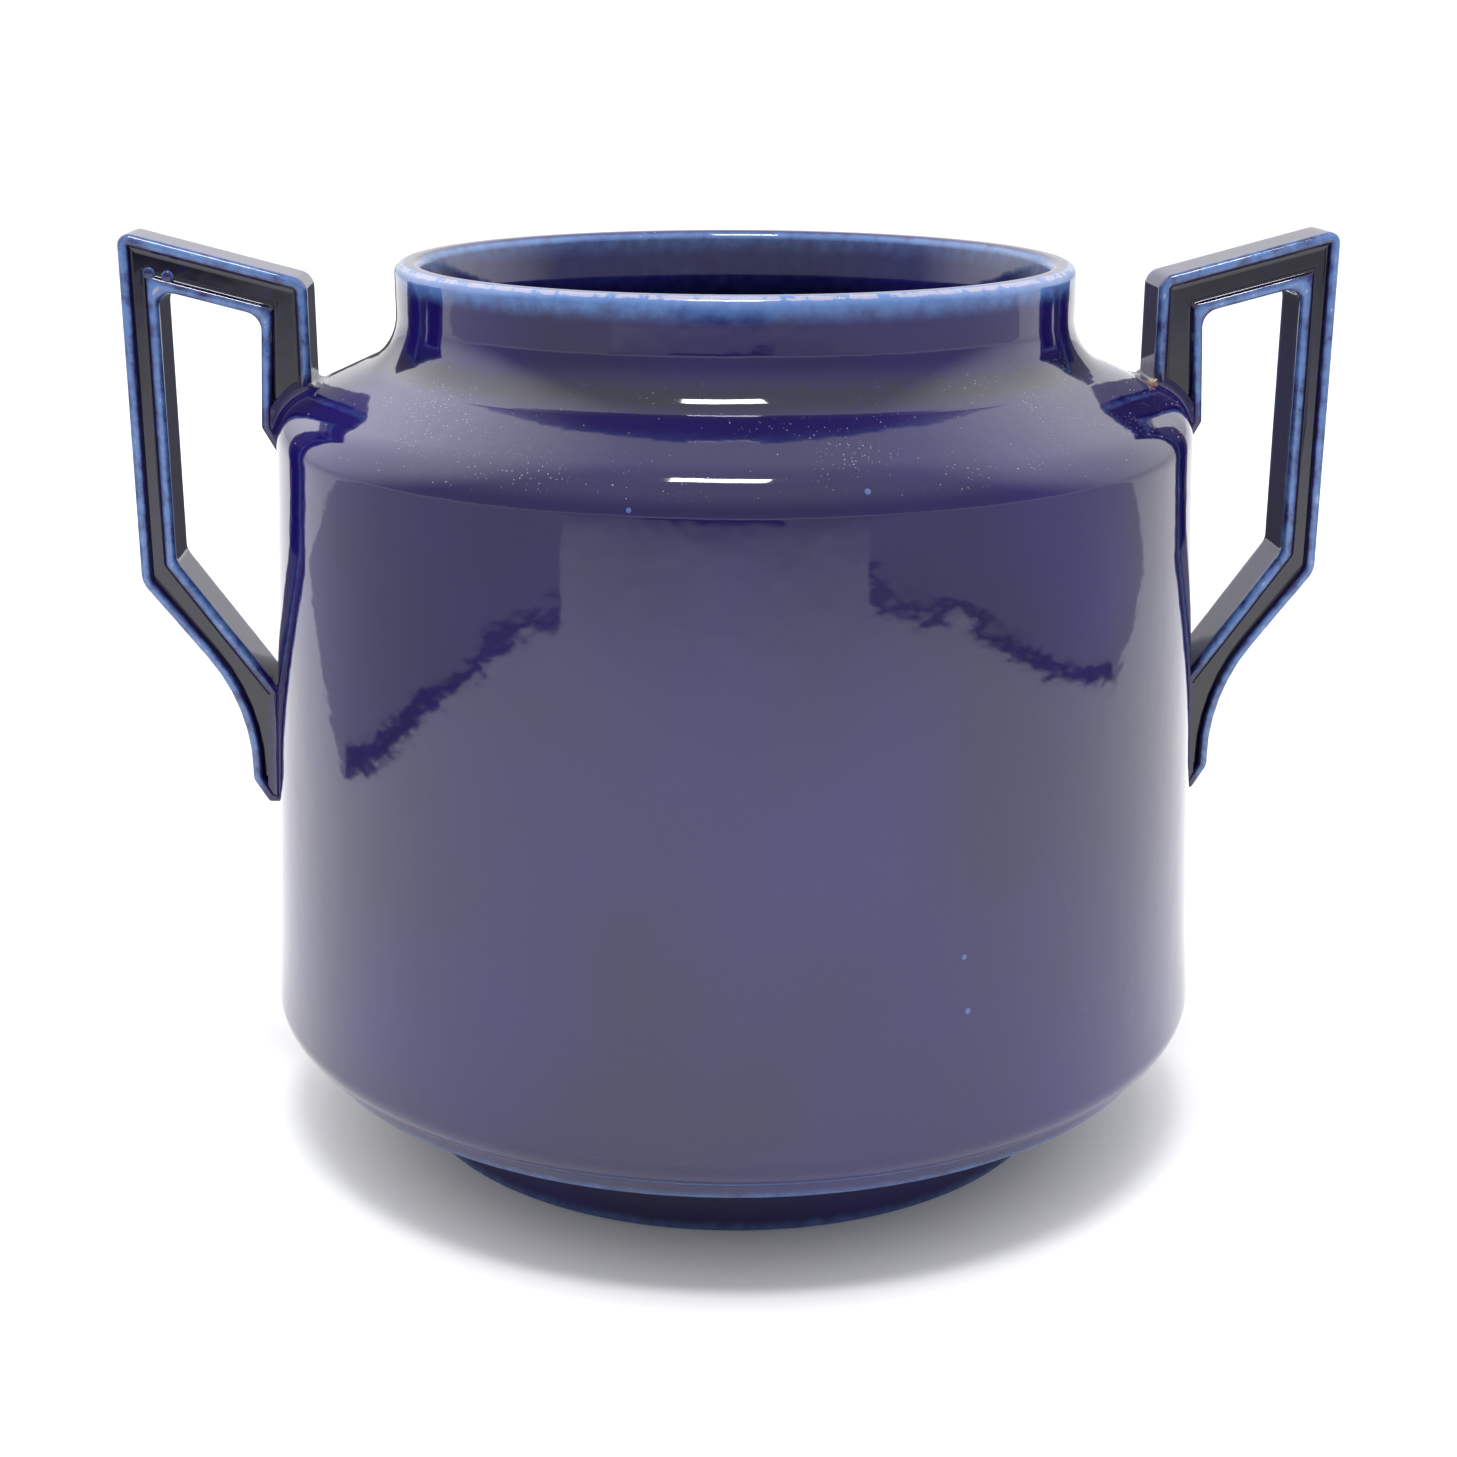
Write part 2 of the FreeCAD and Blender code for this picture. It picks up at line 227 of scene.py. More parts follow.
def pot_body(material):
    """Hollow body. Its outside and inside meet the collar's without a step at the seat."""
    inner_belly = BELLY_RADIUS - WALL
    outside = rounded([
        (0, UNDERSIDE, 0),
        (FOOT_RADIUS + 2.5, UNDERSIDE, 1.5),
        (BAND_RADIUS, BAND, 0.5),
        (ARRIS_RADIUS - 1.1, ARRIS - 0.7, 0.35),
        (ARRIS_RADIUS, ARRIS, 0.45),
        (BELLY_RADIUS + 0.1, BELLY - 2.7, 5.0),
        (CORNER_RADIUS, CORNER, SHOULDER_ROUND),
        (SEAT_RADIUS, SEAT, 0),
    ])
    inside = rounded([
        (SEAT_RADIUS - SEAT_WIDTH, SEAT, 0),
        (SEAT_RADIUS - 1.6, SEAT - 4.6, 4.0),
        (CORNER_RADIUS - WALL, CORNER - WALL, 5.0),
        (inner_belly, BELLY + 3, 0),
        (inner_belly - 0.6, BELLY - 3.5, 6.0),
        (inner_belly - 15.9, FLOOR, 5.0),
        (0, FLOOR, 0),
    ])
    outline = subdivided(outside, LONGEST_RUN) + subdivided(inside, LONGEST_RUN)
    return turned("pot_body_glazed", outline, False, material)


def neck_collar(material):
    """Upright neck with a concave flare at its foot and a rounded lip."""
    slope = (CORNER_RADIUS - SEAT_RADIUS) / (SEAT - CORNER)
    flare_foot = SEAT_RADIUS - NECK_RADIUS
    collar = rounded([
        (SEAT_RADIUS, SEAT, 0),
        (NECK_RADIUS, SEAT + flare_foot / slope, FLARE_ROUND),
        (NECK_RADIUS, LIP, LIP_ROUND),
        (NECK_RADIUS - NECK_WALL + 0.2, LIP, 1.8),
        (NECK_RADIUS - NECK_WALL - 1.7, SEAT + 4.6, 7.0),
        (SEAT_RADIUS - SEAT_WIDTH, SEAT, 0),
    ])
    return turned("neck_collar_glazed", subdivided(collar, LONGEST_RUN), True, material)


def foot_ring(material):
    """Foot ring with rounded edges."""
    outline = rounded([
        (FOOT_RADIUS - FOOT_WIDTH, 0, FOOT_ROUND),
        (FOOT_RADIUS, 0, FOOT_ROUND),
        (FOOT_RADIUS - FOOT_TAPER, UNDERSIDE, 0),
        (FOOT_RADIUS - FOOT_WIDTH, UNDERSIDE, 0),
    ], closed=True)
    return turned("foot_ring_glazed", subdivided(outline, 1.5, closed=True), True, material)


# ---------------------------------------------------------------- handles
# RIDGE is the radius of the rounded ridges. The rest are the handle's bars, straps and levels.
RIDGE = 0.92
CHANNEL_DEPTH = 0.9
NECK_SIDE = 66.2
TAIL = CORNER - 60.9
ELBOW = CORNER - 27.9
BAR_FALL = 7.5
BAR_DEPTH = 7.4
OUTER_STRAP = 5.7
INNER_STRAP = 7.2
CROOK = CORNER - 24.6
CROOK_SLOPE = 1.42
ROOT = CORNER - 3.3


def handle_outlines():
    """Corners (x, z, rounding) of one handle's outside and of its window, both anticlockwise."""
    window_x = HANDLE_OUTSIDE - OUTER_STRAP
    strap_x = NECK_SIDE + INNER_STRAP
    fall = BAR_FALL / (HANDLE_OUTSIDE - NECK_SIDE)
    under = HANDLE_TOP - BAR_DEPTH
    buried_x = NECK_SIDE + 1.5
    tail_x = wall_radius(TAIL) + 4.1
    outside = [
        (NECK_SIDE, TIP, 0.5),
        (wall_radius(TIP) + 1.5, TIP, 0.8),
        (tail_x, TAIL, 2.5),
        (tail_x - 0.3, TAIL + 12.2, 30.0),
        (HANDLE_OUTSIDE, ELBOW, 4.0),
        (HANDLE_OUTSIDE, HANDLE_TOP, 1.7),
        (NECK_SIDE, HANDLE_TOP - BAR_FALL, 2.6),
    ]
    window = [
        (buried_x, CROOK - CROOK_SLOPE * (window_x - buried_x), 0.5),
        (window_x, CROOK, 3.0),
        (window_x, under - OUTER_STRAP * fall, 2.0),
        (strap_x, under - (HANDLE_OUTSIDE - strap_x) * fall, 2.8),
        (strap_x + 0.9, ROOT, 1.2),
        (buried_x, CORNER - 2 * SHOULDER_ROUND, 0.5),
    ]
    return outside, window


def offset_corners(corners, inward):
    """The same corners moved to the left of travel, roundings growing or shrinking to match."""
    spots = [Vector(corner[:2]) for corner in corners]
    moved = []
    for index, here in enumerate(spots):
        back = (here - spots[index - 1]).normalized()
        ahead = (spots[(index + 1) % len(spots)] - here).normalized()
        left = Vector((-back.y, back.x))
        turn = back.x * ahead.y - back.y * ahead.x
        half = math.tan(math.atan2(turn, back.dot(ahead)) / 2)
        spot = here + (left - back * half) * inward
        rounding = corners[index][2] - math.copysign(inward, turn)
        moved.append((spot.x, spot.y, max(0.12, rounding)))
    return moved


def ridge_section():
    """(distance in from the edge, height off the middle plane) from mid-side over to the channel."""
    section = [(0.0, 0.0), (0.0, HANDLE_HALF * 0.5), (0.0, HANDLE_HALF - 1.6)]
    for degrees in range(180, 29, -15):
        angle = math.radians(degrees)
        section.append((RIDGE + RIDGE * math.cos(angle), HANDLE_HALF - RIDGE + RIDGE * math.sin(angle)))
    floor = HANDLE_HALF - CHANNEL_DEPTH
    foot = 2 * RIDGE
    hollow = [(foot, floor + 0.2), (foot + 0.2, floor + 0.05), (foot + 0.4, floor), (foot + 0.8, floor)]
    return section + hollow


def along_runs(outline, per_run=14):
    """The outline with every run between corners divided alike, so that all loops match."""
    finer = []
    for index, spot in enumerate(outline):
        finer.append(spot)
        if index % CORNER_POINTS == CORNER_POINTS - 1:
            ahead = outline[(index + 1) % len(outline)]
            finer += [spot.lerp(ahead, k / per_run) for k in range(1, per_run)]
    return finer


def add_edge_band(corners, inward, face, vertices, thin, faces):
    """Adds the side and ridge along one edge of one face. Gives the first vertex and length of its rim."""
    loops = []
    for deep, high in ridge_section():
        outline = rounded(offset_corners(corners, inward * deep), closed=True, steps=CORNER_POINTS - 1)
        loops.append(len(vertices))
        on_crown = high > HANDLE_HALF - 0.7
        for spot in along_runs(outline):
            wander = 0.10 * noise.noise(Vector((spot.x, spot.y, 9 * face)) * 0.22)
            lift = high + (wander if on_crown else 0)
            vertices.append((spot.x, face * min(lift, HANDLE_HALF), spot.y))
            thin.append(ridge_thinness(deep, high, spot))
    count = len(vertices) - loops[-1]
    flip = inward * face < 0
    for low, up in zip(loops, loops[1:]):
        for k in range(count):
            after = (k + 1) % count
            quad = (low + k, low + after, up + after, up + k)
            faces.append(quad if flip else quad[::-1])
    return loops[-1], count


def handle_mesh(name, side, material):
    """One handle, side +1 or -1 along X: a strap with a ridge along each edge of both faces."""
    outside, window = handle_outlines()
    vertices, thin, faces = [], [], []
    rims = {-1: [], 1: []}
    for corners, inward in ((outside, 1), (window, -1)):
        for face in rims:
            rims[face].append(add_edge_band(corners, inward, face, vertices, thin, faces))
    for face_rims in rims.values():
        numbers = [start + k for start, count in face_rims for k in range(count)]
        rings = [[Vector((vertices[start + k][0], vertices[start + k][2], 0)) for k in range(count)]
                 for start, count in face_rims]
        for a, b, c in geometry.tessellate_polygon(rings):
            faces.append((numbers[a], numbers[b], numbers[c]))
    return made(name, [(side * x, y, z) for x, y, z in vertices], faces, thin, material)


def ridge_thinness(deep, high, spot):
    """Glaze is thinnest on the ridge's crown and pools in the channel and at the roots."""
    away = min((spot - other).length for other in SIDE_OUTLINE[::4])
    root = 0.9 * math.exp(-(away / 2.2) ** 2)
    if high < HANDLE_HALF - 1.7:
        return -0.15 - root
    if deep > 1.75 * RIDGE:
        return -0.6 - root
    crown = max(0.0, 1 - abs(deep - 0.8 * RIDGE) / (1.15 * RIDGE)) ** 0.8
    return 0.74 * crown - root


# Beads on the left handle's front, in its channel above the window's outer corner (x, z).
BEADS = [(-90.0, 138.9), (-87.2, 138.4)]
BEAD_RADIUS = 0.95


def glaze_beads(name, places, radius, material):
    """Beads where the glaze drew together, flat domes on the front face of a handle."""
    vertices, thin, faces = [], [], []
    around, rings = 24, 7
    flatness = 0.55
    middle = -(HANDLE_HALF - 0.55)
    for x, z in places:
        start = len(vertices)
        for ring in range(rings):
            tilt = math.pi * (ring + 1) / (rings + 1)
            for k in range(around):
                angle = 2 * math.pi * k / around
                out = radius * math.sin(tilt)
                high = flatness * radius * math.cos(tilt)
                vertices.append((x + out * math.cos(angle), middle - high, z + out * math.sin(angle)))
                thin.append(0.55 - 0.9 * abs(math.cos(tilt)) ** 3)
        for end in (1, -1):
            vertices.append((x, middle - flatness * radius * end, z))
            thin.append(-0.2)
        first, last = start + rings * around, start + rings * around + 1
        for k in range(around):
            after = (k + 1) % around
            faces.append((first, start + k, start + after))
            tail = start + (rings - 1) * around
            faces.append((last, tail + after, tail + k))
            for ring in range(rings - 1):
                low, up = start + ring * around, start + (ring + 1) * around
                faces.append((low + k, up + k, up + after, low + after))
    return made(name, vertices, faces, thin, material)


def tidied(piece):
    """Doubles merged and normals turned outwards."""
    work = bmesh.new()
    work.from_mesh(piece.data)
    bmesh.ops.remove_doubles(work, verts=work.verts, dist=0.00001)
    bmesh.ops.recalc_face_normals(work, faces=work.faces)
    work.to_mesh(piece.data)
    work.free()
    piece.data.shade_smooth()
    piece.data.set_sharp_from_angle(angle=SMOOTHEST_EDGE)


def pot_core():
    """Solid a little inside the pot's outside, which the handles are cut back to."""
    depth = 1.3
    outline = subdivided(rounded([
        (0, UNDERSIDE, 0),
        (BELLY_RADIUS - depth, BAND, 0),
        (BELLY_RADIUS - depth, BELLY, 0),
        (CORNER_RADIUS - depth, CORNER - depth / 2, SHOULDER_ROUND - depth),
        (SEAT_RADIUS, SEAT - depth, 0),
        (0, SEAT - depth, 0),
    ]), 20)
    return turned("pot_core", outline, False, None)


def cut_back(piece, tool):
    """The piece less the tool, as a plain mesh."""
    cutter = piece.modifiers.new("cut", "BOOLEAN")
    cutter.operation = "DIFFERENCE"
    cutter.solver = "EXACT"
    cutter.object = tool
    depsgraph = bpy.context.evaluated_depsgraph_get()
    result = bpy.data.meshes.new_from_object(piece.evaluated_get(depsgraph))
    piece.modifiers.clear()
    piece.data = result


# ---------------------------------------------------------------- slip skirts
def body_spot(run, across, height):
    """Point off the pot's outside: run along its outline, across round it and height off it."""
    radius, level, normal = profile_at(run)
    angle = across / radius
    out = radius + normal.x * height
    return (out * math.cos(angle), out * math.sin(angle), level + normal.y * height)


SIDE_OUTLINE = subdivided(rounded([
    (wall_radius(BELLY), BELLY, 0),
    (CORNER_RADIUS, CORNER, SHOULDER_ROUND),
    (SEAT_RADIUS, SEAT, 0),
]), 1.0)


def profile_at(run):
    """Radius, level and outward normal at a run along the side from the belly up."""
    for start, end in zip(SIDE_OUTLINE, SIDE_OUTLINE[1:]):
        length = (end - start).length
        if run <= length or end is SIDE_OUTLINE[-1]:
            spot = start.lerp(end, run / length)
            along = (end - start) / length
            return spot.x, spot.y, Vector((along.y, -along.x))
        run -= length


def run_at(test):
    """First run along the side whose point passes the test."""
    run = 0.0
    while run < 130 and not test(*profile_at(run)[:2]):
        run += 0.1
    return run


def skirt(name, side, low_run, high_run, half, rounding, width, material):
    """Concave fillet of slip round a handle's root, from one run to another and a half width across."""
    middle = (low_run + high_run) / 2
    reach_up = (high_run - low_run) / 2
    corners = [(-reach_up, -half, rounding), (reach_up, -half, rounding),
               (reach_up, half, rounding), (-reach_up, half, rounding)]
    bands = 8
    vertices, thin, faces = [], [], []
    for band in range(bands + 1):
        angle = math.pi / 2 * band / bands
        out = width * (1 - math.cos(angle))
        high = width * (1 - math.sin(angle))
        loop = rounded(offset_corners(corners, 0.35 - out), closed=True, steps=CORNER_POINTS - 1)
        for spot in along_runs(loop, 10):
            waver = 1 + 0.18 * noise.noise(Vector((spot.x, spot.y, side * 3)) * 0.3)
            place = body_spot(middle + spot.x, spot.y, high * waver - 0.05 * (band == bands))
            vertices.append((side * place[0], side * place[1], place[2]))
            thin.append(-0.35 + 0.3 * band / bands)
    count = len(vertices) // (bands + 1)
    for band in range(bands):
        for k in range(count):
            after = (k + 1) % count
            low, up = band * count, (band + 1) * count
            faces.append((low + k, low + after, up + after, up + k))
    inner = len(vertices)
    centre = sum((Vector(vertices[j]) for j in range(count)), Vector()) / count
    for k in range(count):
        spot = Vector(vertices[k])
        base = Vector(vertices[bands * count + k])
        sunk = spot.lerp(base, 0.6).lerp(centre, 0.12)
        vertices.append(tuple(sunk - Vector((side * 0.6, 0, 0.3))))
        thin.append(-0.35)
    for k in range(count):
        after = (k + 1) % count
        faces.append((inner + k, inner + after, after, k))
        faces.append((bands * count + k, bands * count + after, inner + after, inner + k))
    return made(name, vertices, faces, thin, material)


# ---------------------------------------------------------------- shader groups
def node_group(name, inputs, outputs):
    """Shader node group with (name, socket type, default) inputs and (name, type) outputs."""
    group = bpy.data.node_groups.new(name, "ShaderNodeTree")
    for label, kind, default in inputs:
        socket = group.interface.new_socket(label, in_out="INPUT", socket_type=kind)
        if default is not None:
            socket.default_value = default
    for label, kind in outputs:
        group.interface.new_socket(label, in_out="OUTPUT", socket_type=kind)
    enter = group.nodes.new("NodeGroupInput")
    leave = group.nodes.new("NodeGroupOutput")
    return group, enter, leave


def add(tree, kind, links=None, **settings):
    """New node with its settings. Inputs are linked or set by name or number."""
    node = tree.nodes.new(kind)
    for key, value in settings.items():
        setattr(node, key, value)
    for key, value in (links or {}).items():
        if isinstance(value, bpy.types.NodeSocket):
            tree.links.new(value, node.inputs[key])
        else:
            node.inputs[key].default_value = value
    return node


def maths(tree, operation, *values):
    """Output of a math node."""
    return add(tree, "ShaderNodeMath", dict(enumerate(values)), operation=operation).outputs[0]


def mixed(tree, amount, first, second):
    """Colour that goes from the first to the second with the amount."""
    node = add(tree, "ShaderNodeMix", {0: amount, 6: first, 7: second}, data_type="RGBA")
    return node.outputs[2]


def ramp(tree, value, low, high):
    """0 below low, 1 above high and smooth between."""
    limits = {0: value, 1: low, 2: high}
    return add(tree, "ShaderNodeMapRange", limits, interpolation_type="SMOOTHSTEP").outputs[0]


def noise_at(tree, place, scale, detail=2.0, rough=0.5):
    """Value of a noise texture, its scale in features per metre."""
    links = {"Vector": place, "Scale": scale, "Detail": detail, "Roughness": rough}
    return add(tree, "ShaderNodeTexNoise", links).outputs["Fac"]


def glaze_coat_group():
    """Colour of a cobalt glaze by how thick it lies, plus painted light and shade, and a mask of where the
    clay shows.
    """
    group, enter, leave = node_group("glaze_coat", [
        ("Place", "NodeSocketVector", None),
        ("Thin", "NodeSocketFloat", 0.0),
        ("Break-up", "NodeSocketFloat", 1.1),
        ("Even colour", "NodeSocketColor", (0.0060, 0.0030, 0.052, 1)),
        ("Drift colour", "NodeSocketColor", (0.0090, 0.0040, 0.094, 1)),
        ("Thin colour and painted light", "NodeSocketColor", (0.085, 0.175, 0.42, 1)),
        ("Bare edge colour", "NodeSocketColor", (0.34, 0.32, 0.42, 1)),
        ("Pooled colour and painted shade", "NodeSocketColor", (0.004, 0.0035, 0.014, 1)),
    ], [("Colour", "NodeSocketColor"), ("Bare", "NodeSocketFloat")])
    place, thin = enter.outputs["Place"], enter.outputs["Thin"]
    breakup = noise_at(group, place, 420.0, 3.0, 0.6)
    drift = noise_at(group, place, 22.0, 2.0)
    uneven = maths(group, "MULTIPLY", maths(group, "SUBTRACT", breakup, 0.52), enter.outputs["Break-up"])
    coat = maths(group, "ADD", thin, maths(group, "MULTIPLY", uneven, maths(group, "ABSOLUTE", thin)))
    drifts = ramp(group, drift, 0.35, 0.7)
    cloud = mixed(group, drifts, enter.outputs["Even colour"], enter.outputs["Drift colour"])
    # Towards the pooled colour: pooled glaze, and painted shade in the foot's recess.
    pooled = mixed(group, ramp(group, coat, 0.0, -0.7), cloud, enter.outputs["Pooled colour and painted shade"])
    # Towards the thin colour: thin glaze on edges, and painted light over the whole inside of the pot.
    light = mixed(group, ramp(group, coat, 0.08, 0.75), pooled, enter.outputs["Thin colour and painted light"])
    bare = ramp(group, coat, 0.84, 0.97)
    final = mixed(group, maths(group, "MULTIPLY", bare, 0.8), light, enter.outputs["Bare edge colour"])
    group.links.new(final, leave.inputs["Colour"])
    group.links.new(bare, leave.inputs["Bare"])
    return group


def glaze_marks_group():
    """Pinholes, specks and settled dust, as masks, and the height of the glaze's own surface."""
    group, enter, leave = node_group("glaze_marks", [
        ("Place", "NodeSocketVector", None),
        ("Pinholes", "NodeSocketFloat", 0.5),
        ("Dust", "NodeSocketFloat", 0.5),
        ("Waviness", "NodeSocketFloat", 1.0),
    ], [("Pinhole", "NodeSocketFloat"), ("Dust", "NodeSocketFloat"), ("Height", "NodeSocketFloat")])
    place = enter.outputs["Place"]
    cells = add(group, "ShaderNodeTexVoronoi", {"Vector": place, "Scale": 130.0})
    chance = add(group, "ShaderNodeSeparateColor", {0: cells.outputs["Color"]}).outputs
    size = maths(group, "MULTIPLY", chance[0], 0.075)
    rare = ramp(group, chance[1], 0.87, 0.90)
    near = maths(group, "LESS_THAN", cells.outputs["Distance"], size)
    pinhole = maths(group, "MULTIPLY", maths(group, "MULTIPLY", near, rare), enter.outputs["Pinholes"])
    grains = add(group, "ShaderNodeTexVoronoi", {"Vector": place, "Scale": 1400.0})
    grain = maths(group, "LESS_THAN", grains.outputs["Distance"], 0.16)
    clumps = ramp(group, noise_at(group, place, 60.0, 3.0, 0.6), 0.48, 0.72)
    up = add(group, "ShaderNodeNewGeometry").outputs["Normal"]
    facing = add(group, "ShaderNodeSeparateXYZ", {0: up}).outputs[2]
    settled = ramp(group, facing, 0.2, 0.85)
    dust = maths(group, "MULTIPLY", maths(group, "MULTIPLY", grain, clumps),
                 maths(group, "MULTIPLY", settled, enter.outputs["Dust"]))
    slow = noise_at(group, place, 26.0, 1.0)
    peel = noise_at(group, place, 150.0, 2.0)
    fine = noise_at(group, place, 900.0, 2.0)
    height = maths(group, "MULTIPLY_ADD", peel, 0.14, slow)
    height = maths(group, "MULTIPLY_ADD", fine, 0.006, height)
    height = maths(group, "MULTIPLY", height, enter.outputs["Waviness"])
    height = maths(group, "SUBTRACT", height, maths(group, "MULTIPLY", pinhole, 0.2))
    for label, value in (("Pinhole", pinhole), ("Dust", dust), ("Height", height)):
        group.links.new(value, leave.inputs[label])
    return group


def bare_patch_group():
    """Mask of a ragged spot where the glaze has crawled back from the clay."""
    group, enter, leave = node_group("bare_patch", [
        ("Place", "NodeSocketVector", None),
        ("Centre", "NodeSocketVector", (0.0, 0.0, 0.0)),
        ("Radius", "NodeSocketFloat", 0.003),
    ], [("Mask", "NodeSocketFloat")])
    place = enter.outputs["Place"]
    away = add(group, "ShaderNodeVectorMath", {0: place, 1: enter.outputs["Centre"]}, operation="DISTANCE")
    ragged = maths(group, "MULTIPLY_ADD", noise_at(group, place, 700.0, 3.0), 0.9, 0.55)
    edge = maths(group, "MULTIPLY", ragged, enter.outputs["Radius"])
    inside = maths(group, "SUBTRACT", edge, away.outputs["Value"])
    mask = ramp(group, inside, -0.0002, 0.0004)
    group.links.new(mask, leave.inputs["Mask"])
    return group


COAT = glaze_coat_group()
MARKS = glaze_marks_group()
BARE = bare_patch_group()
# Bare clay at the right handle's upper root, in metres.
BARE_CENTRE = (0.0648, -0.0050, 0.1212)
BARE_RADIUS = 0.0021


def glaze(name, pinholes=0.6, dust=0.6, waviness=1.0, break_up=1.1):
    """Glossy cobalt glaze over pale clay."""
    material = bpy.data.materials.new(name)
    material.use_nodes = True
    tree = material.node_tree
    shader = tree.nodes["Principled BSDF"]
    place = add(tree, "ShaderNodeTexCoord").outputs["Object"]
    thin = add(tree, "ShaderNodeAttribute", attribute_name="thin").outputs["Fac"]
    coat = add(tree, "ShaderNodeGroup", node_tree=COAT)
    coat.inputs["Break-up"].default_value = break_up
    marks = add(tree, "ShaderNodeGroup", node_tree=MARKS)
    marks.inputs["Pinholes"].default_value = pinholes
    marks.inputs["Dust"].default_value = dust
    marks.inputs["Waviness"].default_value = waviness
    for group in (coat, marks):
        tree.links.new(place, group.inputs["Place"])
    tree.links.new(thin, coat.inputs["Thin"])
    speckled = mixed(tree, marks.outputs["Pinhole"], coat.outputs["Colour"], (0.10, 0.17, 0.44, 1))
    dusty = mixed(tree, marks.outputs["Dust"], speckled, (0.62, 0.62, 0.66, 1))
    rough = maths(tree, "MULTIPLY_ADD", marks.outputs["Dust"], 0.5, 0.055)
    rough = maths(tree, "MULTIPLY_ADD", coat.outputs["Bare"], 0.2, rough)
    ripples = {"Height": marks.outputs["Height"], "Distance": 0.00035, "Strength": 1.0}
    bump = add(tree, "ShaderNodeBump", ripples)
    patch = add(tree, "ShaderNodeGroup", node_tree=BARE)
    patch.inputs["Centre"].default_value = BARE_CENTRE
    patch.inputs["Radius"].default_value = BARE_RADIUS
    tree.links.new(place, patch.inputs["Place"])
    clay = maths(tree, "MULTIPLY", patch.outputs["Mask"], 0.65)
    crawled = mixed(tree, clay, dusty, (0.30, 0.20, 0.09, 1))
    tree.links.new(crawled, shader.inputs["Base Color"])
    tree.links.new(rough, shader.inputs["Roughness"])
    tree.links.new(bump.outputs["Normal"], shader.inputs["Normal"])
    shader.inputs["IOR"].default_value = 1.62
    shader.inputs["Coat Weight"].default_value = 0.0
    return material


# ---------------------------------------------------------------- settled dust
def dust_nodes():
    """Geometry nodes: small motes scattered over the upward faces of a mesh above a level."""
    tree = bpy.data.node_groups.new("settled_dust", "GeometryNodeTree")
    tree.interface.new_socket("Geometry", in_out="INPUT", socket_type="NodeSocketGeometry")
    for label, kind in (("Per square metre", "Float"), ("Lowest level", "Float"),
                        ("Highest level", "Float"), ("Mote radius", "Float"),
                        ("Seed", "Int"), ("Material", "Material")):
        tree.interface.new_socket(label, in_out="INPUT", socket_type=f"NodeSocket{kind}")
    tree.interface.new_socket("Geometry", in_out="OUTPUT", socket_type="NodeSocketGeometry")
    enter = tree.nodes.new("NodeGroupInput").outputs
    leave = tree.nodes.new("NodeGroupOutput")
    place = add(tree, "GeometryNodeInputPosition").outputs[0]
    normal = add(tree, "GeometryNodeInputNormal").outputs[0]
    level = add(tree, "ShaderNodeSeparateXYZ", {0: place}).outputs[2]
    slope = add(tree, "ShaderNodeSeparateXYZ", {0: normal}).outputs[2]
    above = maths(tree, "GREATER_THAN", level, enter["Lowest level"])
    below = maths(tree, "LESS_THAN", level, enter["Highest level"])
    flat = maths(tree, "GREATER_THAN", slope, 0.35)
    allowed = maths(tree, "MULTIPLY", maths(tree, "MULTIPLY", above, below), flat)
    drifts = ramp(tree, noise_at(tree, place, 45.0, 2.0), 0.28, 0.66)
    share = maths(tree, "MULTIPLY", allowed, drifts)
    density = maths(tree, "MULTIPLY", share, enter["Per square metre"])
    points = add(tree, "GeometryNodeDistributePointsOnFaces",
                 {"Mesh": enter["Geometry"], "Density": density, "Seed": enter["Seed"]})
    mote = add(tree, "GeometryNodeMeshIcoSphere", {"Radius": enter["Mote radius"], "Subdivisions": 1})
    size = add(tree, "FunctionNodeRandomValue", {"Seed": enter["Seed"]}, data_type="FLOAT")
    size.inputs[2].default_value = 0.35
    size.inputs[3].default_value = 1.0
    motes = add(tree, "GeometryNodeInstanceOnPoints",
                {"Points": points.outputs["Points"], "Instance": mote.outputs["Mesh"],
                 "Rotation": points.outputs["Rotation"], "Scale": size.outputs[1]})
    real = add(tree, "GeometryNodeRealizeInstances", {0: motes.outputs[0]})
    painted = {"Geometry": real.outputs[0], "Material": enter["Material"]}
    coloured = add(tree, "GeometryNodeSetMaterial", painted)
    tree.links.new(coloured.outputs[0], leave.inputs[0])
    return tree


def settled_dust(name, over, material):
    """Piece of dust motes lying on another piece's shoulder."""
    piece = bpy.data.objects.new(name, over.data.copy())
    bpy.context.scene.collection.objects.link(piece)
    scatter = piece.modifiers.new("dust", "NODES")
    scatter.node_group = dust_nodes()
    values = {"Per square metre": 110000.0, "Mote radius": 0.00011, "Seed": 7, "Material": material,
              "Lowest level": (CORNER - 5) * MM, "Highest level": (SEAT + 2) * MM}
    for item in scatter.node_group.interface.items_tree:
        if item.in_out == "INPUT" and item.name in values:
            scatter[item.identifier] = values[item.name]
    depsgraph = bpy.context.evaluated_depsgraph_get()
    motes = bpy.data.meshes.new_from_object(piece.evaluated_get(depsgraph))
    piece.modifiers.clear()
    piece.data = motes
    return piece


def dust_material():
    """Pale grey dust, lighter or darker from place to place."""
    material = bpy.data.materials.new("settled_dust")
    material.use_nodes = True
    tree = material.node_tree
    shader = tree.nodes["Principled BSDF"]
    place = add(tree, "ShaderNodeTexCoord").outputs["Object"]
    shade = ramp(tree, noise_at(tree, place, 700.0, 1.0), 0.3, 0.7)
    colour = mixed(tree, shade, (0.22, 0.21, 0.22, 1), (0.60, 0.59, 0.60, 1))
    tree.links.new(colour, shader.inputs["Base Color"])
    shader.inputs["Roughness"].default_value = 0.85
    return material


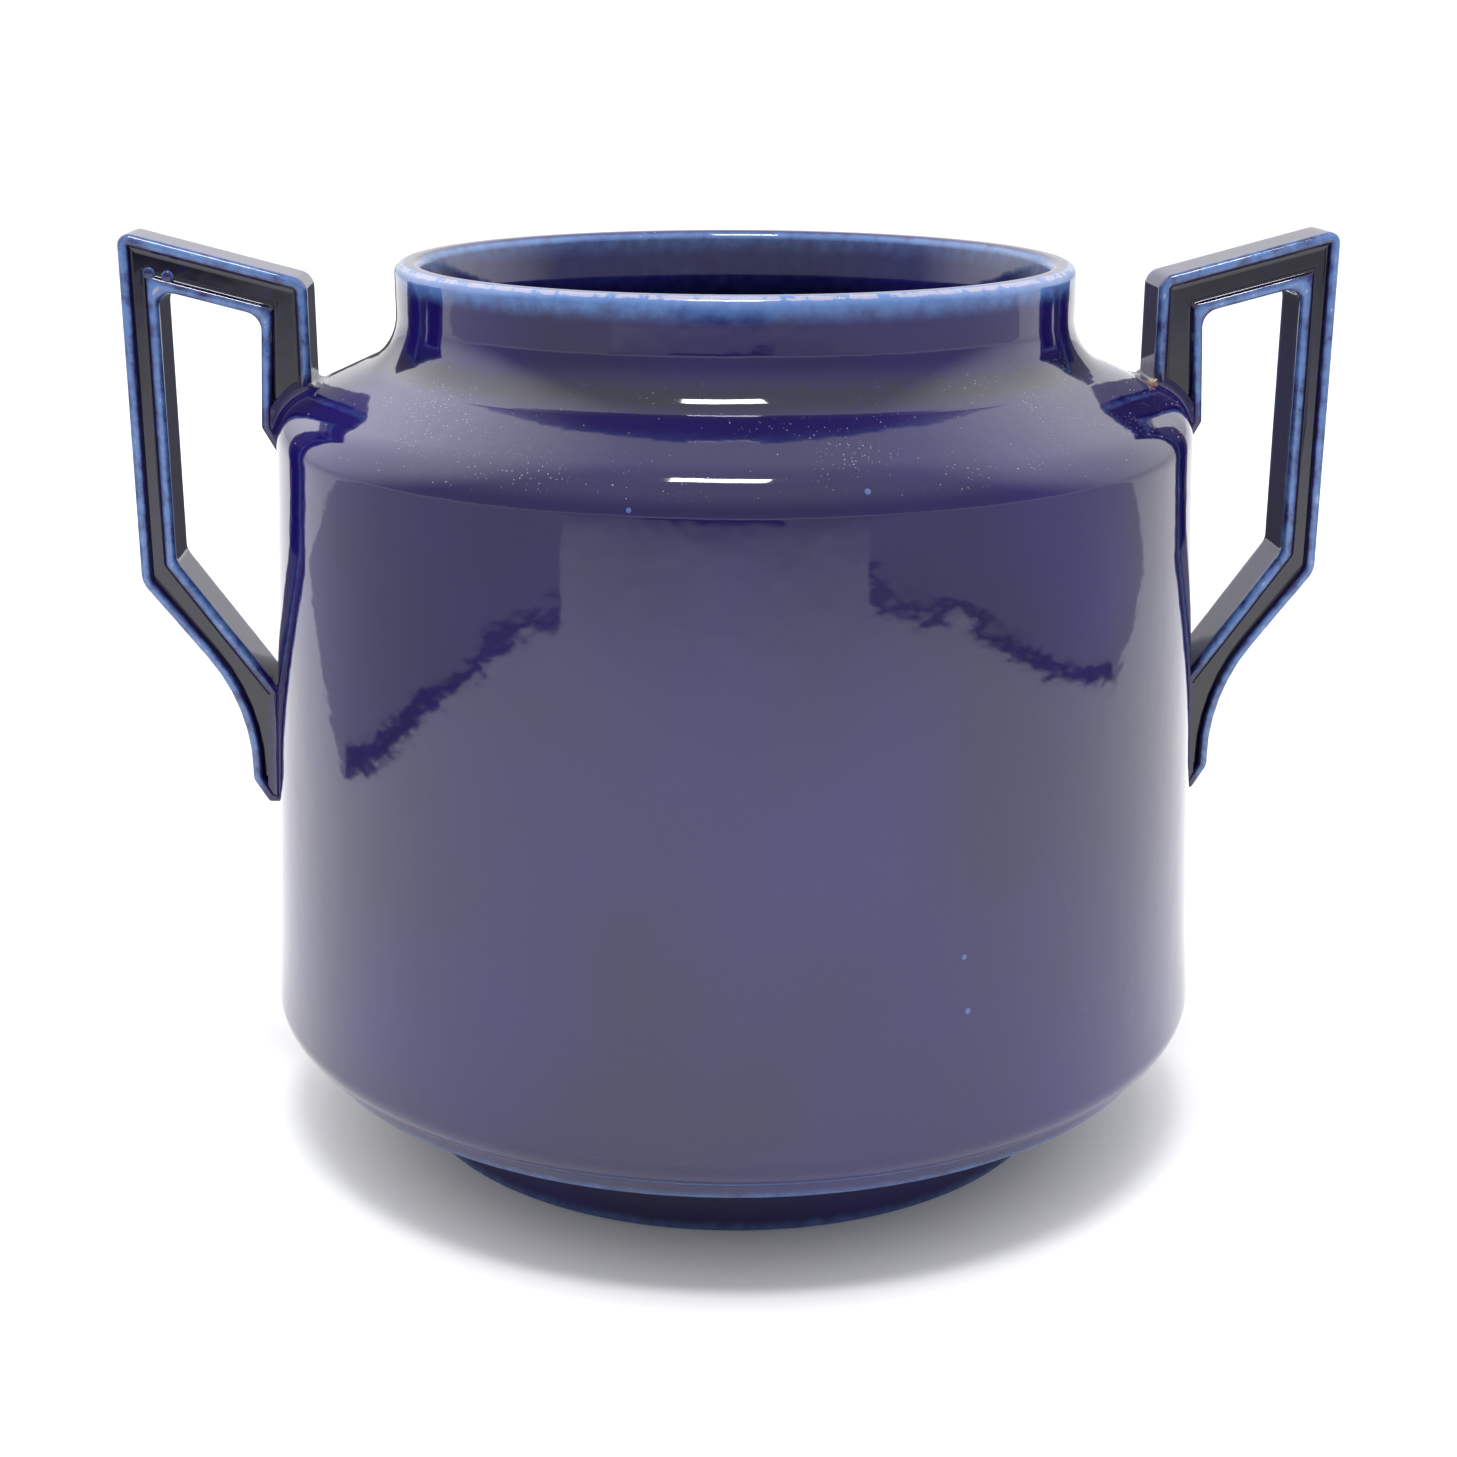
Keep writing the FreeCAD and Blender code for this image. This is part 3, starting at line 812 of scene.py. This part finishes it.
# ---------------------------------------------------------------- stage
# Brightness of the room's ceiling and horizon, and where the table ends, in metres. The table's
# ends are dim sheets with dark edges, seen only as reflections in the glaze.
CEILING = 0.95
HORIZON = 0.50
TABLE_END_LEFT = [(-0.30, 0.05), (-0.40, -0.10), (-0.48, -0.30), (-0.45, -0.50), (-0.60, -0.65),
                  (-0.85, -0.90), (-2.5, -2.5), (-2.5, 0.5), (-0.45, 0.30)]
TABLE_END_RIGHT = [(0.42, 0.02), (0.45, -0.15), (0.46, -0.30), (0.48, -0.43), (0.35, -0.69),
                   (0.60, -1.15), (2.5, -2.5), (2.5, 0.4), (0.55, 0.18)]
TABLE_EDGES = ((TABLE_END_LEFT[:4], 1.08), (TABLE_END_RIGHT[:5], 1.07))
TABLE_FRONT = [(-0.62, -1.28), (0.20, -1.28), (0.25, -2.1), (-0.85, -2.1)]


def stage_material(name, colour, rough, glow=0.0):
    """Matt material for the stage, with a white glow if wanted."""
    material = bpy.data.materials.new(name)
    material.use_nodes = True
    shader = material.node_tree.nodes["Principled BSDF"]
    shader.inputs["Base Color"].default_value = colour
    shader.inputs["Roughness"].default_value = rough
    shader.inputs["Specular IOR Level"].default_value = 0.0
    if glow:
        shader.inputs["Emission Color"].default_value = (1, 1, 1, 1)
        shader.inputs["Emission Strength"].default_value = glow
    return material


def flat_sheet(name, corners, material):
    """Flat stage sheet through its corners."""
    mesh = bpy.data.meshes.new(name)
    mesh.from_pydata(corners, [], [tuple(range(len(corners)))])
    mesh.materials.append(material)
    sheet = bpy.data.objects.new(name, mesh)
    bpy.context.scene.collection.objects.link(sheet)
    return sheet


def gloss_only(sheet):
    """The sheet shows in reflections and takes no light from anything."""
    sheet.visible_camera = False
    sheet.visible_diffuse = False
    sheet.visible_shadow = False
    sheet.visible_transmission = False


def area_light(name, place, target, width, height, power):
    """Rectangular lamp facing its target."""
    light = bpy.data.lights.new(name, "AREA")
    light.shape = "RECTANGLE"
    light.size = width
    light.size_y = height
    light.energy = power
    lamp = bpy.data.objects.new(name, light)
    lamp.location = place
    lamp.rotation_euler = (Vector(target) - Vector(place)).to_track_quat("-Z", "Y").to_euler()
    bpy.context.scene.collection.objects.link(lamp)
    return lamp


def lobe(tree, ray, towards, low, high):
    """Soft patch of sky around a direction."""
    aim = tuple(Vector(towards).normalized())
    near = add(tree, "ShaderNodeVectorMath", {0: ray, 1: aim}, operation="DOT_PRODUCT")
    return ramp(tree, near.outputs["Value"], low, high)


def studio_world():
    """Plain white to the camera. The pot sees a bright ceiling, soft side windows and a dim horizon."""
    world = bpy.data.worlds.new("studio")
    bpy.context.scene.world = world
    world.use_nodes = True
    tree = world.node_tree
    tree.nodes.clear()
    ray = add(tree, "ShaderNodeTexCoord").outputs["Generated"]
    parts = add(tree, "ShaderNodeSeparateXYZ", {0: ray}).outputs
    level = maths(tree, "MULTIPLY_ADD", ramp(tree, parts[2], 0.15, 0.80), CEILING - HORIZON, HORIZON)
    for towards, glow in (((-0.75, 0.45, 0.50), 1.3), ((0.85, 0.35, 0.45), 1.1), ((0, 1, 0.25), 0.5)):
        level = maths(tree, "MULTIPLY_ADD", lobe(tree, ray, towards, 0.72, 0.98), glow, level)
    room = add(tree, "ShaderNodeBackground", {"Color": (1, 1, 1, 1), "Strength": level})
    plain = add(tree, "ShaderNodeBackground", {"Color": (1, 1, 1, 1), "Strength": 1.1})
    camera_ray = add(tree, "ShaderNodeLightPath").outputs["Is Camera Ray"]
    both = add(tree, "ShaderNodeMixShader", {0: camera_ray, 1: room.outputs[0], 2: plain.outputs[0]})
    leave = add(tree, "ShaderNodeOutputWorld")
    tree.links.new(both.outputs[0], leave.inputs["Surface"])


def fading_material():
    """Clear near the pot and grey further off, so that the table dims with distance in the glaze."""
    material = bpy.data.materials.new("far_table")
    material.use_nodes = True
    tree = material.node_tree
    tree.nodes.clear()
    place = add(tree, "ShaderNodeTexCoord").outputs["Object"]
    ahead = add(tree, "ShaderNodeSeparateXYZ", {0: place}).outputs[1]
    amount = maths(tree, "MULTIPLY", ramp(tree, ahead, -0.38, -1.3), 0.75)
    grey = add(tree, "ShaderNodeEmission", {"Color": (1, 1, 1, 1), "Strength": 0.45})
    clear = add(tree, "ShaderNodeBsdfTransparent")
    both = add(tree, "ShaderNodeMixShader", {0: amount, 1: clear.outputs[0], 2: grey.outputs[0]})
    leave = add(tree, "ShaderNodeOutputMaterial")
    tree.links.new(both.outputs[0], leave.inputs["Surface"])
    return material


def flag(name, corners, material, level=0.0008):
    """Sheet lying on the floor, seen only in the glaze's reflections."""
    gloss_only(flat_sheet(name, [(x, y, level) for x, y in corners], material))


def studio():
    """Pale floor, lamps, room and the sheets that the glaze reflects."""
    white = stage_material("pale_floor", (0.90, 0.90, 0.90, 1), 0.8)
    dim = stage_material("dim_room", (0.0, 0.0, 0.0, 1), 1.0, 0.80)
    dark = stage_material("dark_edge", (0.0, 0.0, 0.0, 1), 1.0, 0.12)
    far = 9.0
    flat_sheet("floor", [(-far, -far, 0), (far, -far, 0), (far, far, 0), (-far, far, 0)], white)
    for word, corners in (("left", TABLE_END_LEFT), ("right", TABLE_END_RIGHT)):
        flag(f"table_end_{word}", corners, dim)
    for edge, spread in TABLE_EDGES:
        outer = [(spread * x, spread * y) for x, y in reversed(edge)]
        flag("table_edge", edge + outer, dark, 0.0016)
    flag("table_front", TABLE_FRONT, dark)
    flag("behind_pot", [(-0.10, 0.24), (0.07, 0.24), (0.70, 5.0), (-1.4, 5.0)], dark)
    far_table = [(-2.5, -2.5), (2.5, -2.5), (2.5, -0.36), (-2.5, -0.36)]
    flag("far_table", far_table, fading_material(), 0.0004)
    area_light("key", (-0.06, -0.30, 1.15), (0, 0, 0.12), 0.30, 0.16, 4.5)
    softbox = area_light("softbox", (0, 0.1, 1.6), (0, 0, 0), 1.2, 1.2, 13)
    softbox.visible_glossy = False
    studio_world()


def camera():
    """Camera at the height of the lip and a little above, looking down the pot's front."""
    lens = bpy.data.cameras.new("camera")
    lens.lens = 56.83
    lens.sensor_width = 36.0
    lens.shift_x = -0.003775
    view = bpy.data.objects.new("camera", lens)
    bpy.context.scene.collection.objects.link(view)
    view.location = (-0.02107, -0.3654, 0.176)
    pitch, swing, roll = math.radians(17.1), math.radians(3.3), math.radians(0.2)
    look = Matrix.Rotation(-swing, 4, "Z") @ Matrix.Rotation(math.pi / 2 - pitch, 4, "X")
    view.rotation_euler = (look @ Matrix.Rotation(roll, 4, "Z")).to_euler()
    bpy.context.scene.camera = view


# ---------------------------------------------------------------- assembly
def stands_for(piece, node):
    """The piece takes a CAD node's place, on the pot's one body."""
    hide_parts(node)
    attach(piece, BODY)


# Slip skirts: the rounding of a root's corners and the widths of the upper and lower fillets.
ROOT_ROUND = 1.2
UPPER_SKIRT = 2.0
LOWER_SKIRT = 1.8

body_glaze = glaze("cobalt_glaze_body")
handle_glaze = glaze("cobalt_glaze_handles", pinholes=0.3, dust=0.3, waviness=0.5, break_up=2.4)

for build, node in ((pot_body, "pot_body"), (neck_collar, "neck_collar"), (foot_ring, "foot_ring")):
    piece = build(body_glaze)
    tidied(piece)
    stands_for(piece, node)
    if node == "pot_body":
        dust = settled_dust("shoulder_dust", piece, dust_material())
        stands_for(dust, "pot_body")

core = pot_core()
tidied(core)
upper_low = run_at(lambda radius, level: level > ROOT - 1.0)
upper_high = run_at(lambda radius, level: radius < NECK_SIDE and level > CORNER)
lower_low = run_at(lambda radius, level: level > TIP + 0.6)
lower_high = run_at(lambda radius, level: level > CORNER - 45.5)
for word, side in (("right", 1), ("left", -1)):
    piece = handle_mesh(f"handle_{word}_glazed", side, handle_glaze)
    tidied(piece)
    cut_back(piece, core)
    stands_for(piece, f"handle_{word}")
    top = skirt(f"upper_skirt_{word}_slip", side, upper_low, upper_high, HANDLE_HALF, ROOT_ROUND,
                UPPER_SKIRT, body_glaze)
    foot = skirt(f"lower_skirt_{word}_slip", side, lower_low, lower_high, HANDLE_HALF, ROOT_ROUND,
                 LOWER_SKIRT, body_glaze)
    for piece, node in ((top, "upper_skirt"), (foot, "lower_skirt")):
        tidied(piece)
        stands_for(piece, f"{node}_{word}")
bpy.data.objects.remove(core)
beads = glaze_beads("glaze_beads", BEADS, BEAD_RADIUS, handle_glaze)
tidied(beads)
stands_for(beads, "handle_left")

studio()
camera()
bpy.context.scene.view_settings.view_transform = "Standard"
